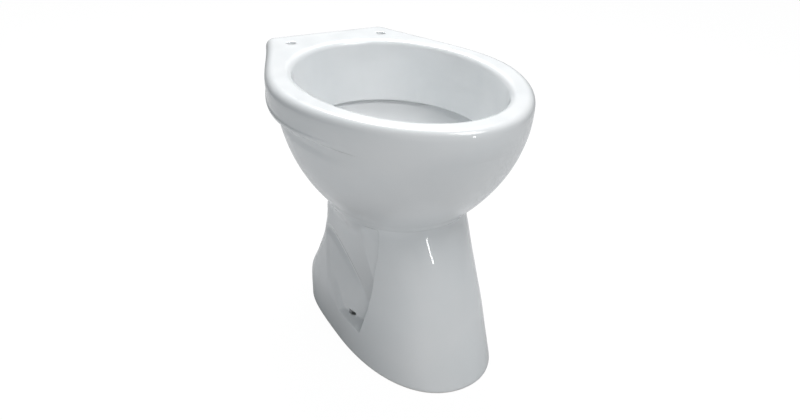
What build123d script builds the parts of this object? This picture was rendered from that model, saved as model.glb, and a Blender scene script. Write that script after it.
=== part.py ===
from build123d import *
from dataclasses import dataclass, replace
from math import atan2, cos, pi, radians, sin, tan
import os

os.makedirs("parts", exist_ok=True)

# Floor-standing washdown toilet pan in vitreous china, with a horizontal outlet at the back.
# Millimetres. The front faces -Y, +X is to the right seen from the front and +Z is up. The origin
# is on the floor, midway between the two sides and midway between the front and rear tips.
# The pan is cast in pieces that are joined as wet clay, so the pieces meet face to face.

ROUND = 0.5523  # handle length that makes a Bezier quarter an ellipse


def share_of(start, end, share):
    """Value that lies a share of the way from start to end."""
    return start + (end - start) * share


@dataclass
class Level:
    """One horizontal outline of the ware: an egg with a sharper or blunter nose and rear."""

    height: float
    half_width: float
    front: float
    rear: float
    widest: float
    squareness: float = ROUND
    nose: float = ROUND

    def inset(self, by):
        return replace(
            self, half_width=self.half_width - by, front=self.front + by, rear=self.rear - by
        )

    def at(self, height):
        return replace(self, height=height)


# Thickness of the ware
wall = 9.0
skirt_wall = 7.0
deck_thickness = 15.0

# Rim and deck
rim_height = 395.0
rim_half_width = 178.0
rim_front = -230.0
rim_widest = -11.0
rim_nose = 0.49  # a little sharper than an ellipse
deck_rear = 230.0
deck_half_width = 102.0
deck_corner_radius = 18.0
shoulder = 73.0  # how far behind its widest place the rim keeps its width
taper_start = (137.0, 125.0)  # where the side begins to run straight towards the deck's corner
band_depth = 45.0
rim_edge_radius = 12.0
mouth_edge_radius = 9.0
band_edge_radius = 8.0
hollow_front = 125.0  # how far forward the open space under the deck reaches

# Mouth, and the lip that hangs below it inside the bowl
mouth = Level(rim_height, 139.5, -192.0, 160.0, -5.0)
lip_inset = 5.0
lip_rear_inset = 16.0
lip_drop = 93.0  # from the top of the rim down to the bottom of the lip
lip_depth = 20.0
lip_round = 1.5
rinse_hole_radius = 2.5
rinse_hole_count = 20
rinse_hole_inset = 10.0  # from the mouth's edge to the middle of the hole, at the top of the ledge
rinse_hole_slant = 4.0

# Seat hinge holes in the deck
hinge_spacing = 155.0
hinge_y = 184.0
hinge_hole_radius = 7.5

# Outside of the bowl, from the neck up to the underside of the rim band
bowl_depth = 183.0  # from the top of the rim down to the neck
column_nose = 0.62  # blunter than an ellipse
neck = Level(rim_height - bowl_depth, 97.0, -129.0, 93.0, -8.0, nose=column_nose)
brim_half_width = 165.5
brim_front = -222.0
brim_rear = 180.0
brim_widest = -12.0
brim_nose = 0.50

# Outside of the pedestal, from the floor up to the waist
foot = Level(0.0, 107.0, -229.0, 118.0, -44.0, 0.90, column_nose)
plinth = Level(50.0, 104.0, -206.0, 116.0, -45.0, 0.96, column_nose)
ankle = Level(share_of(plinth.height, neck.height, 0.216), 98.5, -193.0, 108.0, -52.0, 0.90, column_nose)
shank = Level(share_of(plinth.height, neck.height, 0.463), 91.0, -176.0, 98.0, -58.0, 0.88, column_nose)
waist = Level(share_of(plinth.height, neck.height, 0.728), 87.0, -156.0, 93.0, -52.0, 0.88, column_nose)
leg_front = 12.0  # plane where the front column and the rear leg are joined

# Recess in each side of the pedestal, between the front column and the rear leg
recess_foot_x = 69.0
recess_top_x = 84.0
recess_front_foot = -97.0
recess_front_top = -121.0
sill_height = plinth.height
recess_low = sill_height - 8.0
sill_front = -78.0
sill_rear = -40.0
recess_rear_foot = (-26.0, sill_height + 12.0)
recess_rear_bend = (40.0, neck.height - 56.0)
recess_rear_top = 52.0
recess_corner_radius = 5.0

# Floor fixing holes in the sills of the recesses
fixing_x = 87.0
fixing_y = -57.0
fixing_hole_radius = 6.5
sleeve_bore_radius = 4.2
sleeve_recess = 2.0

# Trap, from the throat of the sump up over the weir to the outlet
trap_radius = 35.0
throat_height = 65.0
throat_y = -33.0
outlet_drop = 210.0  # from the top of the rim down to the middle of the outlet
trap_slope = radians(72.0)
trap_bend_radius = 48.0
throat_run = 1.1  # straight lengths of the trap before its first bend and after its last
weir_run = 3.1

# Outlet spigot at the back
outlet_radius = 51.0
outlet_root_radius = 49.0
outlet_grip = 72.0  # length at the end that the soil pipe's connector slides over
outlet_bore_radius = 42.0
outlet_cone = 15.0
outlet_end_y = 200.0
outlet_chamfer = 2.0

# Inlet horn for the flush pipe, under the deck at the back
horn_drop = 4.0  # from the underside of the rim band down to the top of the horn
horn_radius = 28.5
horn_bore_radius = 21.5
horn_end_y = 218.0
seal_depth = 18.0
seal_bore_radius = 16.0
seal_flange = 4.0

# Inside of the basin, from the lip down to the sump
lip_bottom = rim_height - lip_drop
basin_shoulder = Level(lip_bottom - 16.0, 132.0, -176.0, 127.0, -22.0)
basin_shelf = Level(lip_bottom - 34.0, 117.0, -158.0, 95.0, -32.0)
basin_slope = Level(neck.height + 28.0, 91.0, -132.0, 42.0, -46.0)
basin_neck = Level(neck.height, 62.0, -104.0, 4.0, -54.0)
sump_top = Level(share_of(throat_height, neck.height, 0.782), 53.0, -105.0, -20.0, -64.0)
sump_water = Level(share_of(throat_height, neck.height, 0.544), 49.0, -110.0, -32.0, -71.0)
sump_middle = Level(share_of(throat_height, neck.height, 0.238), 45.0, -112.0, -38.0, -74.0)
sump_low = Level(throat_height, 41.0, -106.0, -45.0, -75.0)
sump_heel = Level(throat_height - 25.0, 33.0, -98.0, -53.0, -75.0)
sump_sag = 2.0  # how far the sump's floor lies below the throat
sump_floor = Level(throat_height - trap_radius - sump_sag, 24.0, -88.0, -62.0, -75.0)
roof_thickness = 12.0  # between the underside of the lip and the hollow outside the basin

# Heights and places that follow from the sizes above
band_bottom = rim_height - band_depth
ledge_top = lip_bottom + lip_depth
roof_height = lip_bottom - roof_thickness
outlet_height = rim_height - outlet_drop
bend_length = trap_bend_radius * tan(trap_slope / 2)
throat_bend_y = throat_y + throat_run + bend_length
weir_bend_y = throat_bend_y + (outlet_height - throat_height) / tan(trap_slope)
trap_end_y = weir_bend_y + bend_length + weir_run
brim = Level(band_bottom, brim_half_width, brim_front, brim_rear, brim_widest, nose=brim_nose)


def bowl_outside(height):
    """Outside of the bowl at one height. It swells fast above the neck and slowly near the brim."""
    share = (height - neck.height) / (brim.height - neck.height)
    bulge = 1 - (1 - share) ** 2.6
    return Level(
        height,
        share_of(neck.half_width, brim.half_width, share_of(share, bulge, 0.60)),
        share_of(neck.front, brim.front, share_of(share, bulge, 0.45)),
        share_of(neck.rear, brim.rear, share_of(share, bulge, 0.50)),
        share_of(neck.widest, brim.widest, share),
        nose=share_of(neck.nose, brim.nose, share ** 3),
    )


def mouth_inside(height):
    """Inner face of the rim's hanging skirt, which closes in a little towards the lip."""
    share = (rim_height - height) / (rim_height - ledge_top)
    return Level(
        height,
        mouth.half_width - lip_inset * share,
        mouth.front + lip_inset * share,
        mouth.rear - lip_rear_inset * share,
        mouth.widest,
    )


def between(low, high, count):
    """Heights spaced evenly from low to high, both included."""
    return [share_of(low, high, step / (count - 1)) for step in range(count)]


def across(y, height=0.0):
    """Plane square to the Y axis, with sketches seen from the front and extruded towards the rear."""
    return Plane(origin=(0, y, height), x_dir=(1, 0, 0), z_dir=(0, 1, 0))


def egg(level):
    """Fill the current sketch with the outline of a level, drawn as four Bezier quarters."""
    front_handle = (level.widest - level.front) * level.nose
    rear_handle = (level.rear - level.widest) * level.squareness
    with BuildLine() as outline:
        for side in (level.half_width, -level.half_width):
            Bezier(
                (0, level.front),
                (side * level.nose, level.front),
                (side, level.widest - front_handle),
                (side, level.widest),
            )
            Bezier(
                (side, level.widest),
                (side, level.widest + rear_handle),
                (side * level.squareness, level.rear),
                (0, level.rear),
            )
    make_face(outline.line)


def loft_through(levels, mode=Mode.ADD):
    """Loft the current part through a list of levels, lowest first."""
    sections = []
    for level in levels:
        with BuildSketch(Plane.XY.offset(level.height)) as section:
            egg(level)
        sections.append(section.sketch)
    loft(sections, mode=mode)


def rim_outline(inset=0.0):
    """Fill the current sketch with the rim and deck seen from above."""
    half_width = rim_half_width - inset
    front = rim_front + inset
    corner_x = deck_half_width - inset
    corner_y = deck_rear - inset
    with BuildLine() as outline:
        for side in (1, -1):
            Bezier(
                (0, front),
                (side * half_width * rim_nose, front),
                (side * half_width, share_of(rim_widest, front, rim_nose)),
                (side * half_width, rim_widest),
            )
            Bezier(
                (side * half_width, rim_widest),
                (side * half_width, rim_widest + shoulder),
                (side * (taper_start[0] - inset), taper_start[1]),
                (side * corner_x, corner_y),
            )
        Line((-corner_x, corner_y), (corner_x, corner_y))
    face = make_face(outline.line)
    fillet(face.vertices().group_by(Axis.Y)[-1], deck_corner_radius - inset / 2)


def recess_shape(extra=0.0):
    """Fill the current sketch with the recess seen from the side, grown by extra all round."""
    with BuildLine() as outline:
        Polyline(
            (recess_front_foot, recess_low),
            (sill_front, sill_height),
            (sill_rear, sill_height),
            recess_rear_foot,
            recess_rear_bend,
            (recess_rear_top, neck.height - wall),
            (recess_front_top, neck.height - wall),
            close=True,
        )
    face = make_face(outline.line)
    fillet(face.vertices(), recess_corner_radius)
    if extra:
        offset(amount=extra)


# Rim casting: a hollow ring with the flush channel inside it, a flat deck behind and a skirt that
# hangs into the bowl. The deck is open below, so that the seat's nuts can be reached.
channel = Level(
    band_bottom + wall,
    rim_half_width - wall,
    rim_front + wall,
    brim.rear - wall / 2,
    rim_widest,
    nose=rim_nose,
)

with BuildPart() as skirt_outside:
    loft_through([mouth_inside(height).inset(-skirt_wall) for height in (ledge_top, rim_height)])

with BuildPart() as channel_space:
    with BuildSketch(Plane.XY.offset(band_bottom)):
        egg(brim.inset(wall))
    extrude(amount=wall)
    with BuildSketch(Plane.XY.offset(channel.height)):
        egg(channel)
    extrude(amount=band_depth - 2 * wall)
    add(skirt_outside.part, mode=Mode.SUBTRACT)

with BuildPart() as deck_hollow:
    with BuildSketch(Plane.XY.offset(band_bottom)):
        rim_outline(wall)
        with Locations((0, deck_rear)):
            Rectangle(2 * rim_half_width, 2 * (deck_rear - hollow_front), mode=Mode.INTERSECT)
    extrude(amount=band_depth - deck_thickness)
    with BuildSketch(Plane.XY.offset(band_bottom)):
        egg(channel.inset(-wall))
    extrude(amount=band_depth, mode=Mode.SUBTRACT)

with BuildPart() as rim_ring:
    with BuildSketch(Plane.XY.offset(band_bottom)):
        rim_outline()
    extrude(amount=band_depth)
    fillet(rim_ring.faces().sort_by(Axis.Z)[-1].edges(), rim_edge_radius)
    fillet(rim_ring.faces().sort_by(Axis.Z)[0].edges(), band_edge_radius)
    add(skirt_outside.part)
    loft_through([mouth_inside(height) for height in (ledge_top, rim_height)], Mode.SUBTRACT)
    fillet(rim_ring.faces().sort_by(Axis.Z)[-1].inner_wires()[0].edges(), mouth_edge_radius)
    add(channel_space.part, mode=Mode.SUBTRACT)
    add(deck_hollow.part, mode=Mode.SUBTRACT)
    with BuildSketch(Plane.XY.offset(rim_height - deck_thickness)):
        with Locations((-hinge_spacing / 2, hinge_y), (hinge_spacing / 2, hinge_y)):
            Circle(hinge_hole_radius)
    extrude(amount=deck_thickness, mode=Mode.SUBTRACT)
rim_ring.part.label = "rim_ring"
export_step(rim_ring.part, "parts/rim_ring.step")


# Trapway: a tube that rises from the throat of the sump over the weir and runs on to the outlet.
def trap_tube(radius, mode=Mode.ADD):
    """Sweep a disc along the trap's centre line in the current part."""
    with BuildLine(Plane.YZ) as path:
        FilletPolyline(
            (throat_y, throat_height),
            (throat_bend_y, throat_height),
            (weir_bend_y, outlet_height),
            (trap_end_y, outlet_height),
            radius=trap_bend_radius,
        )
    with BuildSketch(across(throat_y, throat_height)) as disc:
        Circle(radius)
    sweep(disc.sketch, path=path.line, mode=mode)


with BuildPart() as trap_outside:
    trap_tube(trap_radius + wall)

with BuildPart() as trapway:
    add(trap_outside.part)
    trap_tube(trap_radius, Mode.SUBTRACT)
trapway.part.label = "trapway"
export_step(trapway.part, "parts/trapway.step")

# Outlet spigot: a straight pipe end, a little thicker where the soil pipe's connector grips it.
with BuildPart() as outlet_spigot:
    with BuildSketch(across(outlet_end_y - outlet_grip, outlet_height)):
        Circle(outlet_radius)
    extrude(amount=outlet_grip)
    chamfer(outlet_spigot.faces().sort_by(Axis.Y)[-1].edges(), outlet_chamfer)
    with BuildSketch(across(trap_end_y, outlet_height)):
        Circle(outlet_root_radius)
    extrude(amount=outlet_end_y - outlet_grip - trap_end_y)
    with BuildSketch(across(trap_end_y, outlet_height)) as cone_start:
        Circle(trap_radius)
    with BuildSketch(across(trap_end_y + outlet_cone, outlet_height)) as cone_end:
        Circle(outlet_bore_radius)
    loft([cone_start.sketch, cone_end.sketch], mode=Mode.SUBTRACT)
    with BuildSketch(across(trap_end_y + outlet_cone, outlet_height)):
        Circle(outlet_bore_radius)
    extrude(amount=outlet_end_y - trap_end_y - outlet_cone, mode=Mode.SUBTRACT)
outlet_spigot.part.label = "outlet_spigot"
export_step(outlet_spigot.part, "parts/outlet_spigot.step")

# Hole that the spigot's root passes through in the bowl's back and in the rear leg.
with BuildPart() as spigot_hole:
    with BuildSketch(across(trap_end_y, outlet_height)):
        Circle(outlet_root_radius)
    extrude(amount=outlet_end_y - outlet_grip - trap_end_y)

# Inlet horn: a short socket at the back that carries flush water into the rim's channel.
horn_height = band_bottom - horn_drop - horn_radius
horn_start_y = bowl_outside(horn_height).rear - wall

with BuildPart() as inlet_horn:
    with BuildSketch(across(horn_start_y, horn_height)):
        Circle(horn_radius)
        Circle(horn_bore_radius, mode=Mode.SUBTRACT)
    extrude(amount=horn_end_y - horn_start_y)
inlet_horn.part.label = "inlet_horn"
export_step(inlet_horn.part, "parts/inlet_horn.step")

# Rubber seal in the mouth of the horn, which the flush pipe pushes into.
with BuildPart() as inlet_seal:
    with BuildSketch(across(horn_end_y - seal_depth, horn_height)):
        Circle(horn_bore_radius)
    extrude(amount=seal_depth)
    with BuildSketch(across(horn_end_y, horn_height)):
        Circle(horn_radius)
    extrude(amount=seal_flange)
    with BuildSketch(across(horn_end_y - seal_depth, horn_height)):
        Circle(seal_bore_radius)
    extrude(amount=seal_depth + seal_flange, mode=Mode.SUBTRACT)
inlet_seal.part.label = "inlet_seal"
export_step(inlet_seal.part, "parts/inlet_seal.step")


# Rinse holes run down and inwards through the ledge, from the flush channel to the underside of the lip.
def rinse_hole(angle):
    """Slanted drill for the rinse hole at an angle around the mouth."""
    half_width = mouth_inside(ledge_top).half_width
    depth = mouth_inside(ledge_top).widest - mouth_inside(ledge_top).front
    if sin(angle) > 0:
        depth = mouth_inside(ledge_top).rear - mouth_inside(ledge_top).widest
    direction = Vector(cos(angle), sin(angle), 0)
    edge = Vector(half_width * cos(angle), mouth.widest + depth * sin(angle), ledge_top)
    top = edge + direction * rinse_hole_inset
    bottom = top - direction * rinse_hole_slant - Vector(0, 0, lip_depth)
    drill = Plane(origin=top, z_dir=top - bottom)
    length = (top - bottom).length
    with BuildPart(mode=Mode.PRIVATE) as hole:
        with BuildSketch(drill):
            Circle(rinse_hole_radius)
        extrude(amount=length + wall, dir=bottom - top)
    return hole.part


# Bowl casting: the outer wall from the neck to the brim, the ledge that carries the rim's skirt
# and the basin, which narrows to the sump and ends in the throat.
lip = [mouth_inside(ledge_top).at(lip_bottom).inset(lip_round), mouth_inside(ledge_top)]
basin_top = bowl_outside(lip_bottom).inset(wall)
basin = [
    sump_floor,
    sump_heel,
    sump_low,
    sump_middle,
    sump_water,
    sump_top,
    basin_neck,
    basin_slope,
    basin_shelf,
    basin_shoulder,
    basin_top,
]
basin_outside = [level.inset(-wall) for level in basin[:-2]]
basin_outside.append(bowl_outside(roof_height + wall).inset(wall / 3))
basin_outside[0] = basin_outside[0].at(sump_floor.height - wall)

with BuildPart() as bowl:
    loft_through([bowl_outside(height) for height in between(neck.height, brim.height, 7)])
    loft_through(
        [bowl_outside(height).inset(wall) for height in between(neck.height, roof_height, 4)],
        Mode.SUBTRACT,
    )
    loft_through(basin_outside)
    with BuildSketch(across(sump_low.widest, throat_height)):
        Circle(trap_radius + wall)
    extrude(amount=throat_y - sump_low.widest)
    loft_through(basin, Mode.SUBTRACT)
    with BuildSketch(across(sump_low.widest, throat_height)):
        Circle(trap_radius)
    extrude(amount=throat_y - sump_low.widest, mode=Mode.SUBTRACT)
    loft_through(lip, Mode.SUBTRACT)
    loft_through(
        [bowl_outside(height).inset(wall) for height in between(ledge_top, brim.height, 3)],
        Mode.SUBTRACT,
    )
    with BuildSketch(across(horn_start_y, horn_height)):
        Circle(horn_radius)
    extrude(amount=horn_end_y - horn_start_y, mode=Mode.SUBTRACT)
    with BuildSketch(across(horn_start_y - wall, horn_height)):
        Circle(horn_bore_radius)
    extrude(amount=wall, mode=Mode.SUBTRACT)
    for step in range(rinse_hole_count):
        add(rinse_hole(2 * pi * (step + 0.5) / rinse_hole_count), mode=Mode.SUBTRACT)
    add(trap_outside.part, mode=Mode.SUBTRACT)
    add(spigot_hole.part, mode=Mode.SUBTRACT)
bowl.part.label = "bowl"
export_step(bowl.part, "parts/bowl.step")

# Pedestal: a hollow skirt of china that flares down to the foot, with a shallow recess in each side
# between the front column and the rear leg. Both recesses have a level sill with a fixing hole.
pedestal_levels = [foot, plinth, ankle, shank, waist, neck]
recess_slope = atan2(recess_top_x - recess_foot_x, neck.height)
recess_normal = (cos(recess_slope), 0, -sin(recess_slope))
recess_floor = Plane(origin=(recess_foot_x, 0, 0), x_dir=(0, 1, 0), z_dir=recess_normal)

with BuildPart() as recess:
    with BuildSketch(recess_floor):
        recess_shape()
    extrude(amount=foot.half_width)
    mirror(about=Plane.YZ)

with BuildPart() as recess_walls:
    with BuildSketch(recess_floor.offset(-wall)):
        recess_shape(wall)
    extrude(amount=foot.half_width)
    mirror(about=Plane.YZ)

with BuildPart() as pedestal_hollow:
    loft_through([level.inset(wall) for level in pedestal_levels])
    add(recess_walls.part, mode=Mode.SUBTRACT)

with BuildPart() as pedestal:
    loft_through(pedestal_levels)
    add(recess.part, mode=Mode.SUBTRACT)
    add(pedestal_hollow.part, mode=Mode.SUBTRACT)
    add(trap_outside.part, mode=Mode.SUBTRACT)
    add(spigot_hole.part, mode=Mode.SUBTRACT)
    with BuildSketch(Plane.XY.offset(sill_height - wall)):
        with Locations((fixing_x, fixing_y), (-fixing_x, fixing_y)):
            Circle(fixing_hole_radius)
    extrude(amount=wall, mode=Mode.SUBTRACT)

with BuildPart() as front_column:
    add(pedestal.part)
    split(bisect_by=across(leg_front), keep=Keep.BOTTOM)
front_column.part.label = "front_column"
export_step(front_column.part, "parts/front_column.step")

with BuildPart() as rear_leg:
    add(pedestal.part)
    split(bisect_by=across(leg_front), keep=Keep.TOP)
rear_leg.part.label = "rear_leg"
export_step(rear_leg.part, "parts/rear_leg.step")

# Plastic sleeves that keep the floor screws off the china, sunk a little in the fixing holes.
for name, side in (("left", 1), ("right", -1)):
    with BuildPart() as sleeve:
        with BuildSketch(Plane.XY.offset(sill_height - wall)):
            with Locations((side * fixing_x, fixing_y)):
                Circle(fixing_hole_radius)
                Circle(sleeve_bore_radius, mode=Mode.SUBTRACT)
        extrude(amount=wall - sleeve_recess)
    sleeve.part.label = f"floor_sleeve_{name}"
    export_step(sleeve.part, f"parts/floor_sleeve_{name}.step")
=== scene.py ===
from math import cos, pi, radians, sin

import bpy
import numpy as np
from mathutils import Matrix, Vector


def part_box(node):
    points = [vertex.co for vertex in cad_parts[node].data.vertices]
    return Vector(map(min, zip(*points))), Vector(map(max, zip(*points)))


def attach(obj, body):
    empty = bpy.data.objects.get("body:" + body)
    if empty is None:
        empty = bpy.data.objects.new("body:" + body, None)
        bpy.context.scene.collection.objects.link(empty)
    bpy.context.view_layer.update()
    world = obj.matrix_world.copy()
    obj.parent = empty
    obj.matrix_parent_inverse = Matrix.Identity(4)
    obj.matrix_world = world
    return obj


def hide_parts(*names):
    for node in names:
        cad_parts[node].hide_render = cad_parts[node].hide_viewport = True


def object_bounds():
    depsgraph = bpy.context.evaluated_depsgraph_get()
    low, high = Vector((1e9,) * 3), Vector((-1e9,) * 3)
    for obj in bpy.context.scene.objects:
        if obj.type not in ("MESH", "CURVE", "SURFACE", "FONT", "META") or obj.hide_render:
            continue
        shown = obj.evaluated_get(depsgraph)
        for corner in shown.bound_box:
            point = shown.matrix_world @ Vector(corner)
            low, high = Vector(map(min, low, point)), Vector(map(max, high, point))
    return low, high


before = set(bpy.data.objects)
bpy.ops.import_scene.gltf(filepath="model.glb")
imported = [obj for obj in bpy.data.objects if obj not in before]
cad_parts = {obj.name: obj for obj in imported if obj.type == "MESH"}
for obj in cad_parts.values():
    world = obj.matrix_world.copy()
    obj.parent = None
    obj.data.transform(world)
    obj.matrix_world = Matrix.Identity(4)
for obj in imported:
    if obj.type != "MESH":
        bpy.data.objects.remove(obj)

cad_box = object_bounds()

# Camera. It looks from the front left and from above, a little turned about its own axis, and
# takes in the whole pan from about a metre away.
camera_azimuth = radians(-30.664)
camera_elevation = radians(28.761)
camera_roll = radians(2.355)
camera_distance = 1.05
camera_target = Vector((-0.00777, -0.04502, 0.2))
focal_length = 32.289
sensor_width = 36.0

back = Vector((
    sin(camera_azimuth) * cos(camera_elevation),
    -cos(camera_azimuth) * cos(camera_elevation),
    sin(camera_elevation),
))
level_right = (-back).cross(Vector((0, 0, 1))).normalized()
level_up = level_right.cross(-back)
right = cos(camera_roll) * level_right + sin(camera_roll) * level_up
up = back.cross(right)
camera_data = bpy.data.cameras.new("camera")
camera_data.sensor_width = sensor_width
camera_data.lens = focal_length
camera = bpy.data.objects.new("camera", camera_data)
camera.matrix_world = Matrix.Translation(camera_target + back * camera_distance) @ Matrix((
    (right.x, up.x, back.x, 0),
    (right.y, up.y, back.y, 0),
    (right.z, up.z, back.z, 0),
    (0, 0, 0, 1),
))
bpy.context.scene.collection.objects.link(camera)
bpy.context.scene.camera = camera

# Floor. A plain matt white sheet that looks white to the camera and keeps the pan's soft shadow.
floor_half = 4.0
floor_grey = (0.50, 0.505, 0.51, 1)
white = (1, 1, 1, 1)

floor_mesh = bpy.data.meshes.new("floor")
floor_corners = [(-floor_half, -floor_half, 0), (floor_half, -floor_half, 0),
                 (floor_half, floor_half, 0), (-floor_half, floor_half, 0)]
floor_mesh.from_pydata(floor_corners, [], [(0, 1, 2, 3)])
floor = bpy.data.objects.new("floor", floor_mesh)
bpy.context.scene.collection.objects.link(floor)
floor_material = bpy.data.materials.new("floor_white")
floor_material.use_nodes = True
nodes = floor_material.node_tree.nodes
links = floor_material.node_tree.links
sheet = nodes["Principled BSDF"]
sheet.inputs["Base Color"].default_value = floor_grey
sheet.inputs["Roughness"].default_value = 0.9
glow = nodes.new("ShaderNodeEmission")
glow.inputs["Color"].default_value = white
glow.inputs["Strength"].default_value = 1.06
light_path = nodes.new("ShaderNodeLightPath")
mix = nodes.new("ShaderNodeMixShader")
lifted = nodes.new("ShaderNodeMath")
lifted.operation = "MULTIPLY"
lifted.inputs[1].default_value = 0.92
links.new(light_path.outputs["Is Camera Ray"], lifted.inputs[0])
links.new(lifted.outputs[0], mix.inputs["Fac"])
links.new(sheet.outputs[0], mix.inputs[1])
links.new(glow.outputs[0], mix.inputs[2])
links.new(mix.outputs[0], nodes["Material Output"].inputs["Surface"])
floor_mesh.materials.append(floor_material)

# Light. A wide soft lamp overhead, a narrow upright strip lamp beside the camera and a dim even
# sky, so that the flanks of the pan stay grey and its upward faces turn white.
sky_grey = 0.24
world = bpy.data.worlds.new("sky")
world.use_nodes = True
nodes = world.node_tree.nodes
links = world.node_tree.links
sky = nodes["Background"]
sky.inputs["Color"].default_value = (0.90, 0.96, 1.0, 1)
sky.inputs["Strength"].default_value = sky_grey
page = nodes.new("ShaderNodeBackground")
page.inputs["Color"].default_value = white
light_path = nodes.new("ShaderNodeLightPath")
mix = nodes.new("ShaderNodeMixShader")
links.new(light_path.outputs["Is Camera Ray"], mix.inputs["Fac"])
links.new(sky.outputs[0], mix.inputs[1])
links.new(page.outputs[0], mix.inputs[2])
links.new(mix.outputs[0], nodes["World Output"].inputs["Surface"])
bpy.context.scene.world = world


def lamp(name, place, target, width, height, watts, mirrored=True):
    """Rectangular area lamp at a place, turned towards a target, that the glaze mirrors or not."""
    data = bpy.data.lights.new(name, "AREA")
    data.shape = "RECTANGLE"
    data.size = width
    data.size_y = height
    data.energy = watts
    item = bpy.data.objects.new(name, data)
    item.location = place
    item.rotation_euler = (Vector(target) - Vector(place)).to_track_quat("-Z", "Y").to_euler()
    item.visible_glossy = mirrored
    bpy.context.scene.collection.objects.link(item)


lamp("overhead", (0.42, 0.92, 1.9), (0, 0, 0.3), 1.0, 1.0, 40)
lamp("front", (0.55, -0.95, 2.2), (0, 0, 0.2), 0.9, 0.9, 15)
lamp("fill", (-1.3, -1.8, 0.45), (0, 0, 0.1), 1.6, 1.0, 9, mirrored=False)
lamp("strip", (0.42, -1.9, 1.05), (0, 0, 0.2), 0.05, 0.42, 2.0)

bpy.context.scene.view_settings.view_transform = "Standard"

# Glaze on all the china. It is a clear gloss coat over a fired white body, with the faint ripple
# and uneven whiteness that sprayed glaze keeps, and the foot's lowest edge is left bare.
glaze_white = (0.87, 0.88, 0.885, 1)
glaze_thick = (0.83, 0.85, 0.86, 1)
bisque = (0.72, 0.68, 0.62, 1)
bare_height = 0.0025

glaze = bpy.data.node_groups.new("glaze", "ShaderNodeTree")
for socket, kind in (("Thin", "NodeSocketColor"), ("Thick", "NodeSocketColor"), ("Bare", "NodeSocketColor"),
                     ("Bare Height", "NodeSocketFloat"), ("Ripple", "NodeSocketFloat")):
    glaze.interface.new_socket(socket, in_out="INPUT", socket_type=kind)
for socket, kind in (("Color", "NodeSocketColor"), ("Roughness", "NodeSocketFloat"),
                     ("Coat", "NodeSocketFloat"), ("Height", "NodeSocketFloat")):
    glaze.interface.new_socket(socket, in_out="OUTPUT", socket_type=kind)
nodes = glaze.nodes
links = glaze.links
given = nodes.new("NodeGroupInput")
result = nodes.new("NodeGroupOutput")
place = nodes.new("ShaderNodeTexCoord")
axes = nodes.new("ShaderNodeSeparateXYZ")
links.new(place.outputs["Object"], axes.inputs[0])


def noise(scale, detail):
    """Noise over the surface, in the ware's own place."""
    texture = nodes.new("ShaderNodeTexNoise")
    texture.inputs["Scale"].default_value = scale
    texture.inputs["Detail"].default_value = detail
    links.new(place.outputs["Object"], texture.inputs["Vector"])
    return texture.outputs["Fac"]


def stretch(value, low, high, out_low, out_high):
    """Map a value from one range to another."""
    node = nodes.new("ShaderNodeMapRange")
    links.new(value, node.inputs["Value"])
    node.inputs["From Min"].default_value = low
    node.inputs["From Max"].default_value = high
    node.inputs["To Min"].default_value = out_low
    node.inputs["To Max"].default_value = out_high
    return node.outputs["Result"]


def blend_colours(share, first, second):
    """Mix two colours by a share."""
    node = nodes.new("ShaderNodeMix")
    node.data_type = "RGBA"
    links.new(share, node.inputs["Factor"])
    links.new(first, node.inputs["A"])
    links.new(second, node.inputs["B"])
    return node.outputs["Result"]


cloud = stretch(noise(9.0, 3.0), 0.35, 0.65, 0.0, 1.0)
glazed = blend_colours(cloud, given.outputs["Thin"], given.outputs["Thick"])
edge = nodes.new("ShaderNodeMath")
edge.operation = "LESS_THAN"
links.new(axes.outputs["Z"], edge.inputs[0])
links.new(given.outputs["Bare Height"], edge.inputs[1])
bare = edge.outputs[0]
links.new(blend_colours(bare, glazed, given.outputs["Bare"]), result.inputs["Color"])
links.new(stretch(noise(30.0, 2.0), 0.3, 0.7, 0.30, 0.42), result.inputs["Roughness"])
links.new(stretch(bare, 0.0, 1.0, 1.0, 0.0), result.inputs["Coat"])
ripple = nodes.new("ShaderNodeMath")
ripple.operation = "MULTIPLY"
links.new(noise(38.0, 1.0), ripple.inputs[0])
links.new(given.outputs["Ripple"], ripple.inputs[1])
links.new(ripple.outputs[0], result.inputs["Height"])

china = bpy.data.materials.new("china")
china.use_nodes = True
nodes = china.node_tree.nodes
links = china.node_tree.links
shader = nodes["Principled BSDF"]
finish = nodes.new("ShaderNodeGroup")
finish.node_tree = glaze
finish.inputs["Thin"].default_value = glaze_white
finish.inputs["Thick"].default_value = glaze_thick
finish.inputs["Bare"].default_value = bisque
finish.inputs["Bare Height"].default_value = bare_height
finish.inputs["Ripple"].default_value = 1.0
bump = nodes.new("ShaderNodeBump")
bump.inputs["Strength"].default_value = 0.12
bump.inputs["Distance"].default_value = 0.0015
links.new(finish.outputs["Color"], shader.inputs["Base Color"])
links.new(finish.outputs["Roughness"], shader.inputs["Roughness"])
links.new(finish.outputs["Coat"], shader.inputs["Coat Weight"])
links.new(finish.outputs["Height"], bump.inputs["Height"])
links.new(bump.outputs["Normal"], shader.inputs["Normal"])
shader.inputs["Coat Roughness"].default_value = 0.04
shader.inputs["Coat IOR"].default_value = 1.5

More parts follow.
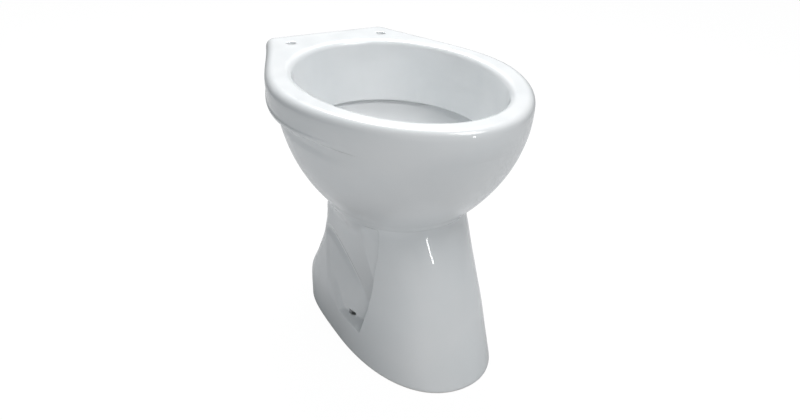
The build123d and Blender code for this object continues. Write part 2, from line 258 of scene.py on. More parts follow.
# Pedestal. It is cast in two halves, the front column and the rear leg, that are luted together
# across the recess in each side. Both are hollow, open below, and share one outside surface.
wall = 0.009
column_levels = np.array([
    # height, half width, front, rear, widest, fullness of the rear and of the nose
    (0.000, 0.1070, -0.229, 0.118, -0.044, 0.90, 0.62),
    (0.050, 0.1040, -0.206, 0.116, -0.045, 0.96, 0.62),
    (0.085, 0.0985, -0.193, 0.108, -0.052, 0.90, 0.62),
    (0.125, 0.0910, -0.176, 0.098, -0.058, 0.88, 0.62),
    (0.168, 0.0870, -0.156, 0.093, -0.052, 0.88, 0.62),
    (0.212, 0.0970, -0.129, 0.093, -0.008, 0.5523, 0.62),
])
round_fullness = 0.5523
joint_y = 0.012
neck_height = 0.212
neck_fillet = 0.014
neck_fillet_depth = 0.0026
foot_round = 0.003
recess_low = (0.069, 0.000)
recess_high = (0.084, 0.212)


def follow(knots, values, at):
    """Smooth curve through every knot that never overshoots: cubic Hermite spans, whose slopes at
    the knots are the harmonic mean of the slopes on both sides, or none at a peak."""
    step = np.diff(knots)
    slope = np.diff(values) / step
    both = slope[:-1] * slope[1:]
    inner = np.where(both > 0, 2 * both / np.where(both > 0, slope[:-1] + slope[1:], 1), 0)
    tangent = np.concatenate([slope[:1], inner, slope[-1:]])
    i = np.clip(np.searchsorted(knots, at, side="right") - 1, 0, len(step) - 1)
    s = np.clip((at - knots[i]) / step[i], 0, 1)
    return (
        (1 + 2 * s) * (1 - s) ** 2 * values[i] + s * s * (3 - 2 * s) * values[i + 1]
        + s * (1 - s) ** 2 * step[i] * tangent[i] - s * s * (1 - s) * step[i] * tangent[i + 1]
    )


def ease(share):
    """Soft step from 0 to 1: three times the square less twice the cube."""
    share = np.clip(share, 0, 1)
    return share * share * (3 - 2 * share)


def egg(sizes, q):
    """Half of an egg outline: a Bezier quarter from the front tip, q = 0, to the widest place,
    q = 1, and one from there to the rear tip, q = 2. Each size is a column with a row per height."""
    half_width, front, rear, widest, fullness, nose = sizes
    t = 1 - np.abs(1 - q)
    handle = np.where(q <= 1, nose, fullness)
    end = np.where(q <= 1, front, rear)
    across = 3 * t * (1 - t) ** 2 * handle + 3 * t ** 2 * (1 - t) + t ** 3
    along = (1 - t) ** 3 + 3 * t * (1 - t) ** 2 + 3 * t ** 2 * (1 - t) * handle
    return half_width * across, widest + (end - widest) * along


def place_of(sizes, y, low, high):
    """The q at which the half outline reaches y, found by halving the span forty times."""
    low = np.full_like(sizes[0], low)
    high = np.full_like(sizes[0], high)
    for _ in range(40):
        middle = (low + high) / 2
        behind = egg(sizes, middle)[1] > y
        high = np.where(behind, middle, high)
        low = np.where(behind, low, middle)
    return (low + high) / 2


def spread(stops, counts):
    """Values that run evenly from stop to stop, with a number of steps between each pair."""
    runs = [
        a + (b - a) * np.linspace(0, 1, count, endpoint=False)
        for a, b, count in zip(stops[:-1], stops[1:], counts)
    ]
    return np.concatenate(runs + [stops[-1] + np.zeros_like(runs[0][:, :1])], axis=1)


def sizes_at(levels, heights, inset=0.0):
    """Outline sizes at each height, as columns, drawn inwards by an inset."""
    half_width, front, rear, widest, fullness, nose = [
        follow(levels[:, 0], levels[:, i], heights)[:, None] for i in range(1, 7)
    ]
    return half_width - inset, front + inset, rear - inset, widest, fullness, nose


def neck_swell(heights):
    """Extra width of the soft fillet where the column meets the bowl."""
    near = np.clip(1 - np.abs(heights - neck_height) / neck_fillet, 0, 1)
    return (neck_fillet_depth * near ** 2)[:, None]


def both_sides(x, y, z):
    """Mirror half outlines to whole loops: down the right side from the front tip to the rear tip
    and back up the left side. Returns rows of points."""
    z = z + np.zeros_like(x)
    half = np.stack([x, y, z], axis=-1)
    other = half[:, -2:0:-1] * (-1, 1, 1)
    return np.concatenate([half, other], axis=1)


# Places along the outline where columns of points are set close together
recess_edge_heights = np.array([0.0, 0.042, 0.056, 0.073, 0.091, 0.121, 0.152, 0.170, 0.188, 0.205, 0.212])
recess_edge_y = np.array([-0.097, -0.098, -0.101, -0.104, -0.107, -0.1075, -0.105, -0.105, -0.103, -0.099, -0.098])
edge_half_step = 0.045
column_counts = (40, 24, 26, 40, 38, 40)
joint_column = sum(column_counts[:4])


def pedestal_columns(heights, sizes):
    """The q of each column of points at each height, closest beside the column's rear edge."""
    edge_y = follow(recess_edge_heights, recess_edge_y, heights)[:, None]
    at_edge = place_of(sizes, edge_y, 0.0, 1.0)
    low = np.maximum(at_edge - edge_half_step, at_edge * 0.5)
    high = at_edge + edge_half_step
    joint = place_of(sizes, joint_y, 1.0, 2.0)
    far = place_of(sizes, 0.068, 1.0, 2.0)
    nothing = np.zeros_like(joint)
    return spread([nothing, low, high, nothing + 1, joint, far, nothing + 2], column_counts)


def recess_depth(x, y, z, grown):
    """How far the side is pushed in at each point: down to a leaning flat floor, and at least a
    little behind the column's edge, times soft steps across the recess's four borders."""
    edge_y = follow(recess_edge_heights, recess_edge_y, z[:, 0])[:, None] - grown
    floor_x = recess_low[0] + (recess_high[0] - recess_low[0]) * z / recess_high[1]
    behind = y - edge_y
    least = 0.009 * np.exp(-np.maximum(behind - grown, 0) / 0.035)
    floor_depth = np.maximum(x - floor_x, least)
    valley_y = np.interp(z, (0.050, 0.070, 0.152, 0.205), (-0.040, -0.028, 0.034, 0.056)) + grown
    run = valley_y + 0.034 - y
    rear_depth = 0.24 * (run + np.sqrt(run ** 2 + 0.016 ** 2)) / 2
    apart = floor_depth - rear_depth
    depth = (floor_depth + rear_depth - np.sqrt(apart ** 2 + 0.003 ** 2)) / 2
    groove_share = ease((z - 0.088) / 0.03) * ease((0.200 - z) / 0.03)
    depth = depth + 0.0030 * np.exp(-(apart / 0.0022) ** 2) * groove_share
    pocket = 0.021 * np.exp(-((behind - 0.009) / 0.008) ** 2 - ((z - 0.064) / 0.018) ** 2)
    sill = np.interp(y, (-0.100, -0.084, -0.040, -0.026), (0.047, 0.050, 0.050, 0.056)) - grown
    top_border = 0.006 + 0.040 * ease((behind - 0.015) / 0.06)
    inside = (
        ease((behind + 0.001) / 0.007)
        * ease(run / 0.016 + 0.5)
        * ease((z - sill + 0.004) / (0.005 + 0.030 * ease((y + 0.045) / 0.05)))
        * ease((neck_height - z) / top_border)
    )
    return np.maximum(depth + pocket, 0) * inside


def pedestal_skin(heights, inset, grown):
    """Loops of points round the pedestal at each height, with the recess pushed into its sides."""
    outer = sizes_at(column_levels, heights)
    q = pedestal_columns(heights, outer)
    sizes = sizes_at(column_levels, heights, inset - neck_swell(heights))
    x, y = egg(sizes, q)
    z = heights[:, None] + np.zeros_like(x)
    x = x - recess_depth(x + inset, y, z, grown)
    return x, y, z


def mesh_of(name, vertices, faces, material):
    """Object with the given points and faces, smooth but for corners sharper than 40 degrees."""
    mesh = bpy.data.meshes.new(name)
    mesh.from_pydata(vertices.tolist(), [], faces.tolist())
    mesh.polygons.foreach_set("use_smooth", np.ones(len(mesh.polygons), bool))
    mesh.set_sharp_from_angle(angle=radians(40))
    mesh.materials.append(material)
    mesh.update()
    item = bpy.data.objects.new(name, mesh)
    bpy.context.scene.collection.objects.link(item)
    return item


def grid_faces(rows, columns, wraps_rows, wraps_columns, start=0):
    """Four-sided faces of a grid whose points are numbered row by row."""
    i = np.arange(rows if wraps_rows else rows - 1)[:, None]
    j = np.arange(columns if wraps_columns else columns - 1)[None]
    corner = [((i + a) % rows) * columns + (j + b) % columns for a, b in ((0, 0), (0, 1), (1, 1), (1, 0))]
    return np.stack(corner, axis=-1).reshape(-1, 4) + start


def tube(points):
    """Vertices and faces of a grid that closes on itself both ways."""
    rows, columns = points.shape[:2]
    return points.reshape(-1, 3), grid_faces(rows, columns, True, True)


pedestal_heights = np.concatenate([
    np.linspace(foot_round, 0.034, 12, endpoint=False),
    np.linspace(0.034, 0.064, 36, endpoint=False),
    np.linspace(0.064, 0.195, 60, endpoint=False),
    np.linspace(0.195, neck_height, 24),
])
outside_x, outside_y, outside_z = pedestal_skin(pedestal_heights, 0.0, 0.0)
inside_x, inside_y, inside_z = pedestal_skin(pedestal_heights, wall, wall)


def pedestal_half(first, last):
    """Closed half of the pedestal: outside, joint faces, inside and top, over a span of columns of
    the half outline. A front half holds the front tip and a rear half the rear tip."""
    turn = np.linspace(0, pi / 2, 5)[:-1]
    rows = []
    for x, y, z, direction in ((outside_x, outside_y, outside_z, 1), (inside_x, inside_y, inside_z, -1)):
        base = np.stack([x, y, z], axis=-1)
        other = np.stack([outside_x + inside_x, outside_y + inside_y, outside_z + inside_z], axis=-1) / 2
        inward = other[:1] - base[:1]
        inward = inward / np.maximum(np.linalg.norm(inward, axis=-1, keepdims=True), 1e-9)
        curl = base[:1] + inward * foot_round * (1 - np.sin(turn)[:, None, None])
        curl[..., 2] = foot_round * (1 - np.cos(turn)[:, None])
        loop = np.concatenate([curl, base])
        rows.append(loop if direction == 1 else loop[::-1])
    return np.concatenate(rows)[:, first:last + 1]


def ribbon(half, tip_first):
    """Join a half to its mirror image and close it: a tube of loops round the section, capped by
    its own first and last columns where the joint faces are."""
    mirrored = half[:, ::-1] * (-1, 1, 1)
    whole = np.concatenate([mirrored[:, :-1], half], axis=1) if tip_first else np.concatenate(
        [half, mirrored[:, 1:]], axis=1)
    rows, columns = whole.shape[:2]
    faces = grid_faces(rows, columns, True, False)
    return whole, faces


def capped(name, half, tip_first, material):
    """The closed ribbon as an object. Each joint face is a strip between outside and inside."""
    whole, faces = ribbon(half, tip_first)
    rows, columns = whole.shape[:2]
    pair = rows // 2
    i = np.arange(pair - 1)
    low = np.stack([i, i + 1, rows - 2 - i, rows - 1 - i], axis=-1) * columns
    high = low[:, ::-1] + columns - 1
    return mesh_of(name, whole.reshape(-1, 3), np.concatenate([faces, low, high]), material)


front_column = capped("front_column_china", pedestal_half(0, joint_column), True, china)
rear_leg = capped("rear_leg_china", pedestal_half(joint_column, sum(column_counts)), False, china)
for piece, node in ((front_column, "front_column"), (rear_leg, "rear_leg")):
    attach(piece, "root")
    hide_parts(node)

# Trapway. A cast tube that rises from the sump over the weir to the outlet. It shows only from
# below and down the outlet, so its own solid serves, in the same glaze.
def dress(node, material):
    """Give a solid that stays as it is its finish, through its object's own slots."""
    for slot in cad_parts[node].material_slots:
        slot.link = "OBJECT"
        slot.material = material


dress("trapway", china)

# Outlet spigot. A straight pipe end that is luted to the back of the bowl, a little thicker where
# the soil pipe's connector grips it, with its lip softened by the glaze.
outlet_low, outlet_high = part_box("outlet_spigot")
outlet_height = (outlet_low.z + outlet_high.z) / 2
outlet_radius = (outlet_high.x - outlet_low.x) / 2
outlet_bore = 0.042
outlet_root = 0.049
outlet_grip = 0.072
trap_bore = 0.035
outlet_cone = 0.015
lip_round = 0.003
root_flare = 0.010
skin_y = 0.094


def arc(centre, radius, start, end, count):
    """Points of a circular arc from one angle to another, in degrees."""
    angle = np.radians(np.linspace(start, end, count))
    return np.stack([centre[0] + radius * np.cos(angle), centre[1] + radius * np.sin(angle)], axis=-1)


def lathe_along_y(profile, height, segments):
    """Closed ring: a profile of (y, radius) carried round a line that runs along Y."""
    turn = np.linspace(0, 2 * pi, segments, endpoint=False)[None]
    y, radius = profile[:, :1], profile[:, 1:]
    ring = np.stack([radius * np.cos(turn), y + 0 * turn, height + radius * np.sin(turn)], axis=-1)
    return tube(ring)


grip_start = outlet_high.y - outlet_grip
spigot_profile = np.concatenate([
    [(outlet_low.y, trap_bore), (outlet_low.y + outlet_cone, outlet_bore)],
    arc((outlet_high.y - lip_round, outlet_bore + lip_round), lip_round, -90, 0, 7),
    arc((outlet_high.y - lip_round, outlet_radius - lip_round), lip_round, 0, 90, 7),
    arc((grip_start + 0.002, outlet_radius - 0.002), 0.002, 90, 180, 6),
    [(grip_start - 0.001, outlet_root), (grip_start - 0.004, outlet_root)],
    [(outlet_low.y, outlet_root)],
])
outlet_spigot = mesh_of("outlet_spigot_china", *lathe_along_y(spigot_profile, outlet_height, 96), china)
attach(outlet_spigot, "root")
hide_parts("outlet_spigot")

# Inlet horn. A short socket at the back, close under the deck, that leads flush water into the
# rim's channel. A black rubber seal sits in its mouth and grips the flush pipe.
horn_low, horn_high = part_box("inlet_horn")
horn_height = (horn_low.z + horn_high.z) / 2
horn_radius = (horn_high.x - horn_low.x) / 2
horn_bore = 0.0215
seal_low, seal_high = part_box("inlet_seal")
seal_bore = 0.016
seal_lip_start = horn_high.y

horn_profile = np.concatenate([
    [(horn_low.y, horn_bore)],
    arc((horn_high.y - lip_round, horn_bore + lip_round), lip_round, -90, 0, 7),
    arc((horn_high.y - lip_round, horn_radius - lip_round), lip_round, 0, 90, 7),
    [(horn_low.y, horn_radius)],
])
inlet_horn = mesh_of("inlet_horn_china", *lathe_along_y(horn_profile, horn_height, 80), china)
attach(inlet_horn, "root")
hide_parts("inlet_horn")

rubber_black = (0.028, 0.028, 0.030, 1)
rubber_worn = (0.060, 0.060, 0.062, 1)


def mottled(name, first, second, scale, rough_low, rough_high, height):
    """Moulded material with cloudy colour, uneven gloss and a fine grain."""
    material = bpy.data.materials.new(name)
    material.use_nodes = True
    nodes = material.node_tree.nodes
    links = material.node_tree.links
    shader = nodes["Principled BSDF"]
    place = nodes.new("ShaderNodeTexCoord")
    clouds = nodes.new("ShaderNodeTexNoise")
    clouds.inputs["Scale"].default_value = scale
    clouds.inputs["Detail"].default_value = 6.0
    grain = nodes.new("ShaderNodeTexNoise")
    grain.inputs["Scale"].default_value = scale * 12
    mix = nodes.new("ShaderNodeMix")
    mix.data_type = "RGBA"
    mix.inputs["A"].default_value = first
    mix.inputs["B"].default_value = second
    gloss = nodes.new("ShaderNodeMapRange")
    gloss.inputs["To Min"].default_value = rough_low
    gloss.inputs["To Max"].default_value = rough_high
    bump = nodes.new("ShaderNodeBump")
    bump.inputs["Strength"].default_value = 0.4
    bump.inputs["Distance"].default_value = height
    for texture in (clouds, grain):
        links.new(place.outputs["Object"], texture.inputs["Vector"])
    links.new(clouds.outputs["Fac"], mix.inputs["Factor"])
    links.new(clouds.outputs["Fac"], gloss.inputs["Value"])
    links.new(mix.outputs["Result"], shader.inputs["Base Color"])
    links.new(gloss.outputs["Result"], shader.inputs["Roughness"])
    links.new(grain.outputs["Fac"], bump.inputs["Height"])
    links.new(bump.outputs["Normal"], shader.inputs["Normal"])
    return material


rubber = mottled("seal_rubber", rubber_black, rubber_worn, 60.0, 0.50, 0.75, 0.0003)
seal_ribs = 3
rib = 0.0011
seal_profile = np.concatenate([
    [(seal_low.y, seal_bore + 0.003), (seal_low.y + 0.002, seal_bore)],
    arc((seal_high.y - 0.002, seal_bore + 0.002), 0.002, -90, 0, 5),
    arc((seal_high.y - 0.0015, horn_radius - 0.0015), 0.0015, 0, 90, 5),
    [(seal_lip_start, horn_radius), (seal_lip_start, horn_bore)],
    np.stack([
        np.linspace(seal_lip_start - 0.001, seal_low.y + 0.001, 25),
        horn_bore - rib * (0.5 - 0.5 * np.cos(np.linspace(0, 2 * pi * seal_ribs, 25))),
    ], axis=-1),
])
inlet_seal = mesh_of("inlet_seal_rubber", *lathe_along_y(seal_profile, horn_height, 80), rubber)
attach(inlet_seal, "root")
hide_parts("inlet_seal")

# Floor sleeves. Two plastic sleeves, pressed into the fixing holes, that keep the floor screws off
# the china.
sleeve_light = (0.74, 0.75, 0.74, 1)
sleeve_dark = (0.62, 0.63, 0.62, 1)
sleeve_plastic = mottled("sleeve_plastic", sleeve_light, sleeve_dark, 90.0, 0.35, 0.55, 0.0001)
for side in ("left", "right"):
    dress(f"floor_sleeve_{side}", sleeve_plastic)

# Bowl. One casting: the outer wall, the ledge that the rim sits on, with its hanging lip, and the
# basin that narrows to the sump. Its outside swells out from the neck, with a soft cove under the
# rim at the sides that fades towards the front.
rim_top = cad_box[1][2]
brim_sizes = (0.1655, -0.222, 0.180, -0.012, 0.56)
brim_height = 0.350
ledge_top = 0.322
lip_bottom = 0.302
mouth_top = (0.1395, -0.192, 0.160, -0.005)
lip_inset = 0.005
lip_rear_inset = 0.016
skirt_wall = 0.007
cove_depth = 0.0025
cove_bottom = 0.326


def even_columns(heights):
    """The q of each column where the ware has no recess: closest at the deck's corners."""
    stops = [0.0, 0.62, 1.0, 1.28, 1.60, 1.80, 2.0]
    counts = (50, 40, 36, 40, 22, 20)
    zero = np.zeros((len(heights), 1))
    return spread([zero + stop for stop in stops], counts)


def bowl_sizes(heights, inset=0.0):
    """Outline of the bowl at each height. It swells fast above the neck and slowly near the brim."""
    share = ((heights - neck_height) / (brim_height - neck_height))[:, None]
    bulge = 1 - (1 - np.clip(share, 0, 1)) ** 2.6
    half_width, front, rear, widest = column_levels[-1, 1:5]
    inset = inset - neck_swell(heights)
    return (
        half_width + (brim_sizes[0] - half_width) * (share + (bulge - share) * 0.60) - inset,
        front + (brim_sizes[1] - front) * (share + (bulge - share) * 0.35) + inset,
        rear + (brim_sizes[2] - rear) * (share + (bulge - share) * 0.50) - inset,
        widest + (brim_sizes[3] - widest) * share,
        round_fullness,
        column_levels[-1, 6] + (brim_sizes[4] - column_levels[-1, 6]) * share ** 3,
    )


def bowl_outside(heights):
    """Outer wall of the bowl at each height, coved under the rim."""
    sizes = bowl_sizes(heights)
    low = np.full_like(heights, neck_height)
    at_neck = pedestal_columns(low, sizes_at(column_levels, low))
    share = ease((heights - neck_height) / (0.300 - neck_height))[:, None]
    q = at_neck + (even_columns(heights) - at_neck) * share
    x, y = egg(sizes, q)
    z = heights[:, None] + np.zeros_like(x)
    fade = ease((y + 0.165) / 0.10)
    cove = cove_depth * fade * ease((z - cove_bottom) / 0.014) * ease((brim_height + 0.004 - z) / 0.008)
    return np.stack([x - cove * np.sign(x) * ease(np.abs(x) / 0.02), y, z], axis=-1)


def mouth_at(heights, outward=0.0):
    """Inner face of the rim and lip at each height, which closes in a little towards the lip."""
    share = np.clip((rim_top - heights) / (rim_top - ledge_top), 0, None)[:, None]
    half_width, front, rear, widest = mouth_top
    sizes = (half_width - lip_inset * share + outward, front + lip_inset * share - outward,
             rear - lip_rear_inset * share + outward, widest + 0 * share, round_fullness, round_fullness)
    x, y = egg(sizes, even_columns(heights))
    return np.stack([x, y, heights[:, None] + np.zeros_like(x)], axis=-1)


def egg_loops(rows, nose=round_fullness):
    """Loops from plain sizes: height, half width, front, rear and widest place of each."""
    rows = np.array(rows)
    sizes = [rows[:, i:i + 1] for i in range(1, 5)] + [round_fullness, nose]
    x, y = egg(sizes, even_columns(rows[:, 0]))
    return np.stack([x, y, rows[:, :1] + np.zeros_like(x)], axis=-1)


basin_levels = np.array([
    # height, half width, front, rear, widest, fullness of the rear and of the nose
    (0.028, 0.024, -0.088, -0.062, -0.075, 0.5523, 0.5523),
    (0.040, 0.033, -0.098, -0.053, -0.075, 0.5523, 0.5523),
    (0.065, 0.041, -0.106, -0.045, -0.075, 0.5523, 0.5523),
    (0.100, 0.045, -0.112, -0.038, -0.074, 0.5523, 0.5523),
    (0.145, 0.049, -0.110, -0.032, -0.071, 0.5523, 0.5523),
    (0.180, 0.053, -0.105, -0.020, -0.064, 0.5523, 0.5523),
    (0.212, 0.062, -0.104, 0.004, -0.054, 0.5523, 0.5523),
    (0.240, 0.091, -0.132, 0.042, -0.046, 0.5523, 0.5523),
    (0.268, 0.117, -0.158, 0.095, -0.032, 0.5523, 0.5523),
    (0.286, 0.132, -0.176, 0.127, -0.022, 0.5523, 0.5523),
    (0.302, 0.1440, -0.1927, 0.1530, -0.011, 0.5523, 0.588),
])
roof_height = 0.290


def basin_at(heights, outward=0.0):
    """Wall of the basin and sump at each height, moved outwards by a thickness."""
    sizes = sizes_at(basin_levels, heights, -outward)
    x, y = egg(sizes, even_columns(heights))
    return np.stack([x, y, heights[:, None] + np.zeros_like(x)], axis=-1)


def mirrored_loops(half):
    """Whole loops from half loops."""
    return np.concatenate([half, half[:, -2:0:-1] * (-1, 1, 1)], axis=1)


def shrink(loop, share, height):
    """The loop drawn in towards its middle, at another height."""
    middle = np.array([0, (loop[:, :1, 1].min() + loop[:, -1:, 1].max()) / 2, 0])
    drawn = middle + (loop - middle) * (share, share, 0)
    drawn[..., 2] = height
    return drawn


outer_heights = np.concatenate([
    np.linspace(neck_height, 0.226, 14, endpoint=False),
    np.linspace(0.226, 0.322, 34, endpoint=False),
    np.linspace(0.322, brim_height, 24),
])
lip_turn = np.radians(np.linspace(0, 90, 8))
lip_radius = 0.0035
basin_heights = np.concatenate([
    np.linspace(lip_bottom, 0.225, 26, endpoint=False),
    np.linspace(0.225, 0.028, 34),
])
outer = bowl_outside(outer_heights)
brim_inner_heights = np.array([brim_height, ledge_top])
brim_inner_x, brim_inner_y = egg(bowl_sizes(brim_inner_heights, wall), even_columns(brim_inner_heights))
brim_inner = np.stack(
    [brim_inner_x, brim_inner_y, brim_inner_heights[:, None] + np.zeros_like(brim_inner_x)], axis=-1)
lip_face = mouth_at(np.linspace(ledge_top, lip_bottom + lip_radius, 8))
lip_curl = np.concatenate([
    mouth_at(np.array([lip_bottom + lip_radius * (1 - sin(angle))]), lip_radius * (1 - cos(angle)))
    for angle in lip_turn[1:]
])
basin_inside = basin_at(basin_heights)
sump_floor = np.concatenate([shrink(basin_inside[-1:], share, 0.028 - 0.002 * (1 - share)) for share in (0.8, 0.5, 0.2)])
basin_back = basin_at(np.linspace(0.028, 0.240, 30), wall)
basin_back[0, :, 2] = 0.028 - wall
sump_back = np.concatenate([shrink(basin_back[:1], share, 0.028 - wall) for share in (0.3, 0.7)])
roof = egg_loops([
    (0.268, 0.1225, -0.1635, 0.103, -0.031),
    (roof_height, 0.1385, -0.1860, 0.148, -0.0115),
])
inner_wall = egg_loops([
    (0.270, 0.1390 - wall, -0.178 + wall, 0.144 - wall, -0.010),
    (0.240, 0.1210 - wall, -0.153 + wall, 0.120 - wall, -0.009),
])
foot_loop = outer[:1] - (outer[:1] - np.array([0, -0.017, neck_height])) * (wall / 0.1)
bowl_half = np.concatenate([
    sump_back, basin_back, roof, inner_wall, foot_loop, outer, brim_inner, lip_face, lip_curl,
    basin_inside, sump_floor,
])


def balloon(name, half, bottom, top, material):
    """Closed shape from loops stacked between two poles."""
    loops = mirrored_loops(half)
    rows, columns = loops.shape[:2]
    count = rows * columns
    vertices = np.concatenate([loops.reshape(-1, 3), [bottom, top]])
    faces = grid_faces(rows, columns, False, True)
    j = np.arange(columns)
    k = (j + 1) % columns
    first = np.stack([k, j, np.full_like(j, count)], axis=-1)
    last = np.stack([j, k, np.full_like(j, count + 1)], axis=-1) + np.array(
        [(rows - 1) * columns, (rows - 1) * columns, 0])
    mesh = bpy.data.meshes.new(name)
    mesh.from_pydata(vertices.tolist(), [], faces.tolist() + first.tolist() + last.tolist())
    mesh.polygons.foreach_set("use_smooth", np.ones(len(mesh.polygons), bool))
    mesh.set_sharp_from_angle(angle=radians(40))
    mesh.materials.append(material)
    mesh.update()
    item = bpy.data.objects.new(name, mesh)
    bpy.context.scene.collection.objects.link(item)
    return item


bowl = balloon("bowl_china", bowl_half, (0, -0.075, 0.028 - wall), (0, -0.075, 0.026), china)
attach(bowl, "root")
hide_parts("bowl")

# Rim. A hollow ring with the flush channel inside it and a flat deck behind, luted onto the bowl.
# Its skirt hangs inside the bowl, its edges are softly rounded, and the deck is open below.
rim_box_low, rim_box_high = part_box("rim_ring")
rim_half_width = rim_box_high.x
rim_front = rim_box_low.y
deck_rear = rim_box_high.y
rim_widest = -0.011
rim_nose = 0.49
shoulder = 0.073
taper_start = (0.137, 0.125)
deck_half_width = 0.102
deck_corner = 0.018
edge_round = 0.012
mouth_round = 0.009
band_round = 0.008
deck_underside = 0.380
hollow_wall = 0.009


def rim_half():
    """Half outline of the rim and deck with its outward normals, column by column as the mouth's: an
    egg quarter in front, then a Bezier side, a round corner and the straight rear edge."""
    q = even_columns(np.zeros(1))[0]
    front_x, front_y = egg((rim_half_width, rim_front, deck_rear, rim_widest, round_fullness, rim_nose), q)
    t = np.linspace(0, 1, 2001)[:, None]
    start = np.array([rim_half_width, rim_widest])
    bend = np.array([rim_half_width, rim_widest + shoulder])
    taper = np.array(taper_start)
    end = np.array([deck_half_width, deck_rear])
    side = (1 - t) ** 3 * start + 3 * t * (1 - t) ** 2 * bend + 3 * t ** 2 * (1 - t) * taper + t ** 3 * end
    lean = (end - taper) / np.linalg.norm(end - taper)
    away = np.array([-lean[1], lean[0]])
    k = np.argmin(np.abs(side[:, 1] + away[1] * deck_corner - (deck_rear - deck_corner)))
    centre = side[k] + away * deck_corner
    angle = np.linspace(np.arctan2(-away[1], -away[0]), pi / 2, 200)[:, None]
    corner = centre + deck_corner * np.concatenate([np.cos(angle), np.sin(angle)], axis=1)
    edge = np.concatenate([centre[0] * (1 - t), deck_rear + 0 * t], axis=1)
    run = np.concatenate([side[:k], corner, edge[1:]])
    length = np.concatenate([[0], np.cumsum(np.linalg.norm(np.diff(run, axis=0), axis=1))])
    rear_q = np.clip(q - 1, 0, 1) * length[-1]
    x = np.where(q <= 1, front_x, np.interp(rear_q, length, run[:, 0]))
    y = np.where(q <= 1, front_y, np.interp(rear_q, length, run[:, 1]))
    points = np.stack([x, y], axis=-1)
    whole = np.concatenate([points[1:2] * (-1, 1), points, points[-2:-1] * (-1, 1)])
    along = whole[2:] - whole[:-2]
    along = along / np.linalg.norm(along, axis=1, keepdims=True)
    return points, np.stack([along[:, 1], -along[:, 0]], axis=-1)


rim_points, rim_normal = rim_half()
mouth_loop = mouth_at(np.array([rim_top]))[0]
mouth_ahead = np.concatenate([mouth_loop[1:], mouth_loop[-2:-1] * (-1, 1, 1)])
mouth_behind = np.concatenate([mouth_loop[1:2] * (-1, 1, 1), mouth_loop[:-1]])
mouth_tangent = (mouth_ahead - mouth_behind)[:, :2]
mouth_tangent = mouth_tangent / np.linalg.norm(mouth_tangent, axis=1, keepdims=True)
mouth_normal = np.stack([mouth_tangent[:, 1], -mouth_tangent[:, 0]], axis=-1)


def level_loop(points, height):
    """Points in the plane set at a height, which may differ from column to column."""
    return np.concatenate([points, np.zeros_like(points[:, :1]) + np.reshape(height, (-1, 1))], axis=1)[None]


def rim_inset(by, height):
    """The rim's outline drawn inwards, at a height."""
    return level_loop(rim_points - rim_normal * np.reshape(by, (-1, 1)), height)


brim_loop = outer[-1, :, :2]
quarter_turn = np.radians(np.linspace(0, 90, 10))
mouth_curl = np.concatenate([
    level_loop(mouth_loop[:, :2] + mouth_normal * mouth_round * (1 - cos(angle))
               + (mouth_at(np.array([rim_top - mouth_round]))[0, :, :2] - mouth_loop[:, :2]) * (1 - sin(angle)),
               rim_top - mouth_round * (1 - sin(angle)))
    for angle in quarter_turn
])
top_start = mouth_curl[-1:]
top_end = rim_inset(edge_round, rim_top)
top_flat = np.concatenate([top_start + (top_end - top_start) * share for share in np.linspace(0, 1, 12)[1:-1]])
edge_curl = np.concatenate([
    rim_inset(edge_round * (1 - sin(angle)), rim_top - edge_round * (1 - cos(angle))) for angle in quarter_turn
])
crease = ease((rim_points[:, 1] + 0.150) / 0.10)
bead_height = brim_height + band_round
bead_rise = 0.0026
bead_depth = 0.0009
band_heights = np.concatenate([
    np.linspace(rim_top - edge_round, bead_height + bead_rise, 12, endpoint=False)[1:],
    np.linspace(bead_height + bead_rise, bead_height, 7),
])


def band_row(height, turn):
    """One loop of the band. Where the crease is strong it hollows a little above a small bead and
    turns under. Towards the front it leans in early and runs smoothly into the bowl."""
    drop = (rim_top - edge_round - height) / (rim_top - edge_round - brim_height)
    soft = rim_points + (brim_loop - rim_points) * np.clip(drop, 0, 1) ** 2.2
    fade = ease((0.13 - rim_points[:, 1:]) / 0.06)
    hollow = bead_depth * fade * ease(drop / 0.55) * ease((height - bead_height) / bead_rise)
    hard = rim_points - rim_normal * (hollow + band_round * (1 - cos(turn)))
    points = soft + (hard - soft) * crease[:, None]
    return level_loop(points, height)


band = np.concatenate([band_row(height, 0.0) for height in band_heights])
band_curl = np.concatenate([
    band_row(brim_height + band_round * (1 - sin(angle)), angle) for angle in quarter_turn[1:]
])
under_brim = level_loop(brim_loop, brim_height)
under_start = band_curl[-1:]
under = np.concatenate([under_start + (under_brim - under_start) * share for share in (0.33, 0.67)])
skirt_heights = np.linspace(rim_top - mouth_round, ledge_top, 12)
skirt_face = mouth_at(skirt_heights)[::-1][:-1]
skirt_back = mouth_at(np.array([ledge_top, 0.386]), skirt_wall)[::-1]
channel_high = egg_loops([(0.386, rim_half_width - wall, rim_front + wall, 0.1755, -0.011)], rim_nose)
channel_low = egg_loops([(0.359, rim_half_width - wall, rim_front + wall, 0.1755, -0.011)], rim_nose)
channel_floor = egg_loops([(0.359, 0.1655 - wall, -0.222 + wall, 0.180 - wall, -0.012)], 0.50)
channel_mouth = egg_loops([(brim_height, 0.1655 - wall, -0.222 + wall, 0.180 - wall, -0.012)], 0.50)
channel_outside = egg_loops([(brim_height, rim_half_width, rim_front, 0.1845, -0.011)])
hollow_outer = rim_points - rim_normal * hollow_wall
hollow_inner = channel_outside[0, :, :2]
room = ((hollow_outer - hollow_inner) * rim_normal).sum(axis=1)
depth = (deck_underside - brim_height) * ease(room / 0.010) * (rim_points[:, 1] > 0.10)
reach = (depth / (deck_underside - brim_height))[:, None]
outer_xy = under_start[0, :, :2] + (hollow_outer - under_start[0, :, :2]) * reach
inner_xy = brim_loop + (hollow_inner - brim_loop) * reach
hollow_low_outer = level_loop(outer_xy, brim_height)
hollow_high_outer = level_loop(outer_xy, brim_height + depth)
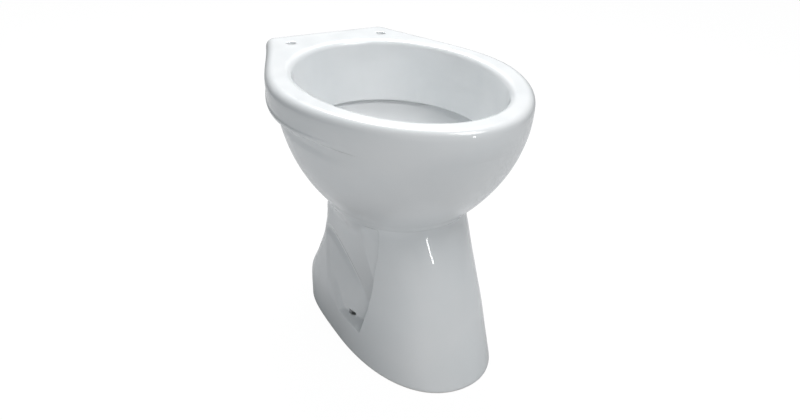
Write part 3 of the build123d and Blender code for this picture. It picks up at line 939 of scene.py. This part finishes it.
hollow_high_inner = level_loop(inner_xy, brim_height + depth)
hollow_low_inner = level_loop(inner_xy, brim_height)
rim_half_loops = np.concatenate([
    skirt_face, mouth_curl, top_flat, edge_curl, band, band_curl,
    hollow_low_outer, hollow_high_outer, hollow_high_inner, hollow_low_inner, under_brim,
    channel_mouth, channel_floor, channel_low, channel_high, skirt_back,
])
rim_vertices, rim_faces = tube(mirrored_loops(rim_half_loops))
rim_ring = mesh_of("rim_ring_china", rim_vertices, rim_faces, china)
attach(rim_ring, "root")
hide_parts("rim_ring")

# Holes. The seat's hinges sit in two holes through the deck, the floor screws in two through the
# sills, and the spigot, the horn and the throat open through the walls. The glaze rounds the upper edges of the hinge
# and screw holes.
hinge_x = 0.0775
hinge_y = 0.184
hinge_radius = 0.0075
fixing_place = (0.087, -0.057)
fixing_radius = 0.0065
sill_height = 0.050
throat_height = 0.065
throat_end = -0.033
hole_flare = 0.0018


def drill(piece, profile, place, axis, operation="DIFFERENCE"):
    """Cut a turned shape out of a piece, or join it on. The profile is (distance, radius) along the
    axis, from a first point to a last one that both lie on the axis's flat ends."""
    turn = np.linspace(0, 2 * pi, 72, endpoint=False)[None]
    distance, radius = profile[:, :1], profile[:, 1:]
    first, second, third = radius * np.cos(turn), radius * np.sin(turn), distance + 0 * turn
    ring = np.stack([first, second, third] if axis == "Z" else [second, third, first], axis=-1) + place
    ends = np.array([(0, 0, d) if axis == "Z" else (0, d, 0) for d in (profile[0, 0], profile[-1, 0])]) + place
    rows, columns = ring.shape[:2]
    j = np.arange(columns)
    k = (j + 1) % columns
    low = np.stack([k, j, np.full_like(j, rows * columns)], axis=-1)
    high = np.stack([j + (rows - 1) * columns, k + (rows - 1) * columns, np.full_like(j, rows * columns + 1)], axis=-1)
    mesh = bpy.data.meshes.new("cutter")
    faces = grid_faces(rows, columns, False, True).tolist() + low.tolist() + high.tolist()
    mesh.from_pydata(np.concatenate([ring.reshape(-1, 3), ends]).tolist(), [], faces)
    mesh.polygons.foreach_set("use_smooth", np.ones(len(mesh.polygons), bool))
    mesh.materials.append(china)
    cutter = bpy.data.objects.new("cutter", mesh)
    bpy.context.scene.collection.objects.link(cutter)
    modifier = piece.modifiers.new("hole", "BOOLEAN")
    modifier.operation = operation
    modifier.solver = "EXACT"
    modifier.object = cutter
    cut = bpy.data.meshes.new_from_object(piece.evaluated_get(bpy.context.evaluated_depsgraph_get()))
    cut.set_sharp_from_angle(angle=radians(40))
    piece.modifiers.clear()
    whole = piece.data
    piece.data = cut
    cut.name = piece.name
    bpy.data.meshes.remove(whole)
    bpy.data.objects.remove(cutter)


def flared(start, end, radius):
    """Profile of a hole whose upper edge opens in a small round."""
    angle = np.linspace(0, pi / 2, 7)[:, None]
    edge = np.concatenate([end - hole_flare * (1 - np.sin(angle)), radius + hole_flare * (1 - np.cos(angle))], axis=1)
    return np.concatenate([[(start, radius)], edge, [(end + 0.004, radius + hole_flare)]])


for side in (1, -1):
    drill(rim_ring, flared(0.372, rim_top, hinge_radius), (side * hinge_x, hinge_y, 0), "Z")
    drill(front_column, flared(0.030, sill_height, fixing_radius), (side * fixing_place[0], fixing_place[1], 0), "Z")
drill(bowl, np.array([(-0.062, 0.044), (throat_end, 0.044)]), (0, 0, throat_height), "Y", "UNION")
drill(bowl, np.array([(-0.075, trap_bore), (0.0, trap_bore)]), (0, 0, throat_height), "Y")
drill(bowl, np.array([(0.070, outlet_root), (0.140, outlet_root)]), (0, 0, outlet_height), "Y")
drill(bowl, np.array([(horn_low.y - wall, horn_bore), (horn_low.y + 0.001, horn_bore)]), (0, 0, horn_height), "Y")
drill(bowl, np.array([(horn_low.y, horn_radius), (horn_high.y, horn_radius)]), (0, 0, horn_height), "Y")
drill(rear_leg, np.array([(0.070, outlet_root), (0.140, outlet_root)]), (0, 0, outlet_height), "Y")
